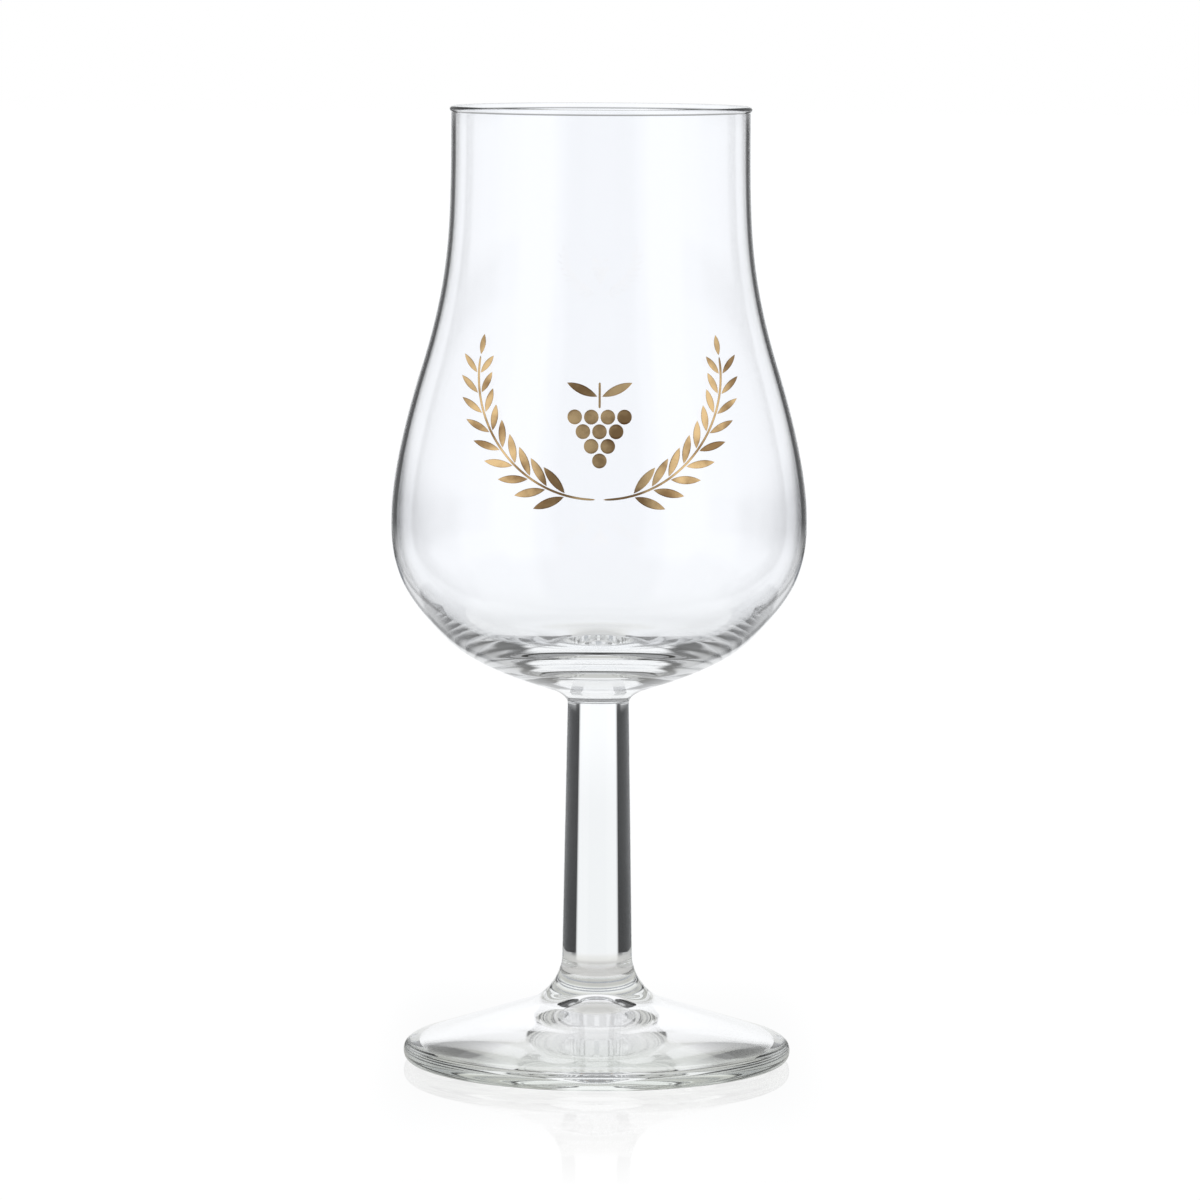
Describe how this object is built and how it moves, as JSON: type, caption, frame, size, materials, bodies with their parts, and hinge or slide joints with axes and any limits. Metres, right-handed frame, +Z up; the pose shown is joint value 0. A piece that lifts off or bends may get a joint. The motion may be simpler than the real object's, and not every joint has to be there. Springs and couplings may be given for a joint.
{
  "type": "stemmed brandy glass",
  "caption": "Tulip-shaped stemmed glass for brandy: thin bowl with narrowed neck and heavy base, solid stem, domed hollow foot and a gilt wreath print on the front.",
  "frame": {"origin": "on the table, under the middle of the foot", "axes": "+Z up along the glass's axis of turning; -Y is the front, where the print is; +X is to the right of someone who looks at the front"},
  "size_m": [0.0674, 0.0674, 0.155],
  "materials": {
    "bowl_glass": "clear blown glass, fire-polished, no texture",
    "stem_glass": "clear solid drawn glass, smooth",
    "foot_glass": "clear pressed glass, fire-polished, faintly rippled at the edge",
    "gilt": "fired bright gilt film, slightly uneven"
  },
  "bodies": {
    "root": {"bowl": "bowl_glass", "stem": "stem_glass", "foot": "foot_glass", "gilt_stalks": "gilt", "gilt_leaves": "gilt", "gilt_grapes": "gilt"}
  },
  "joints": []
}
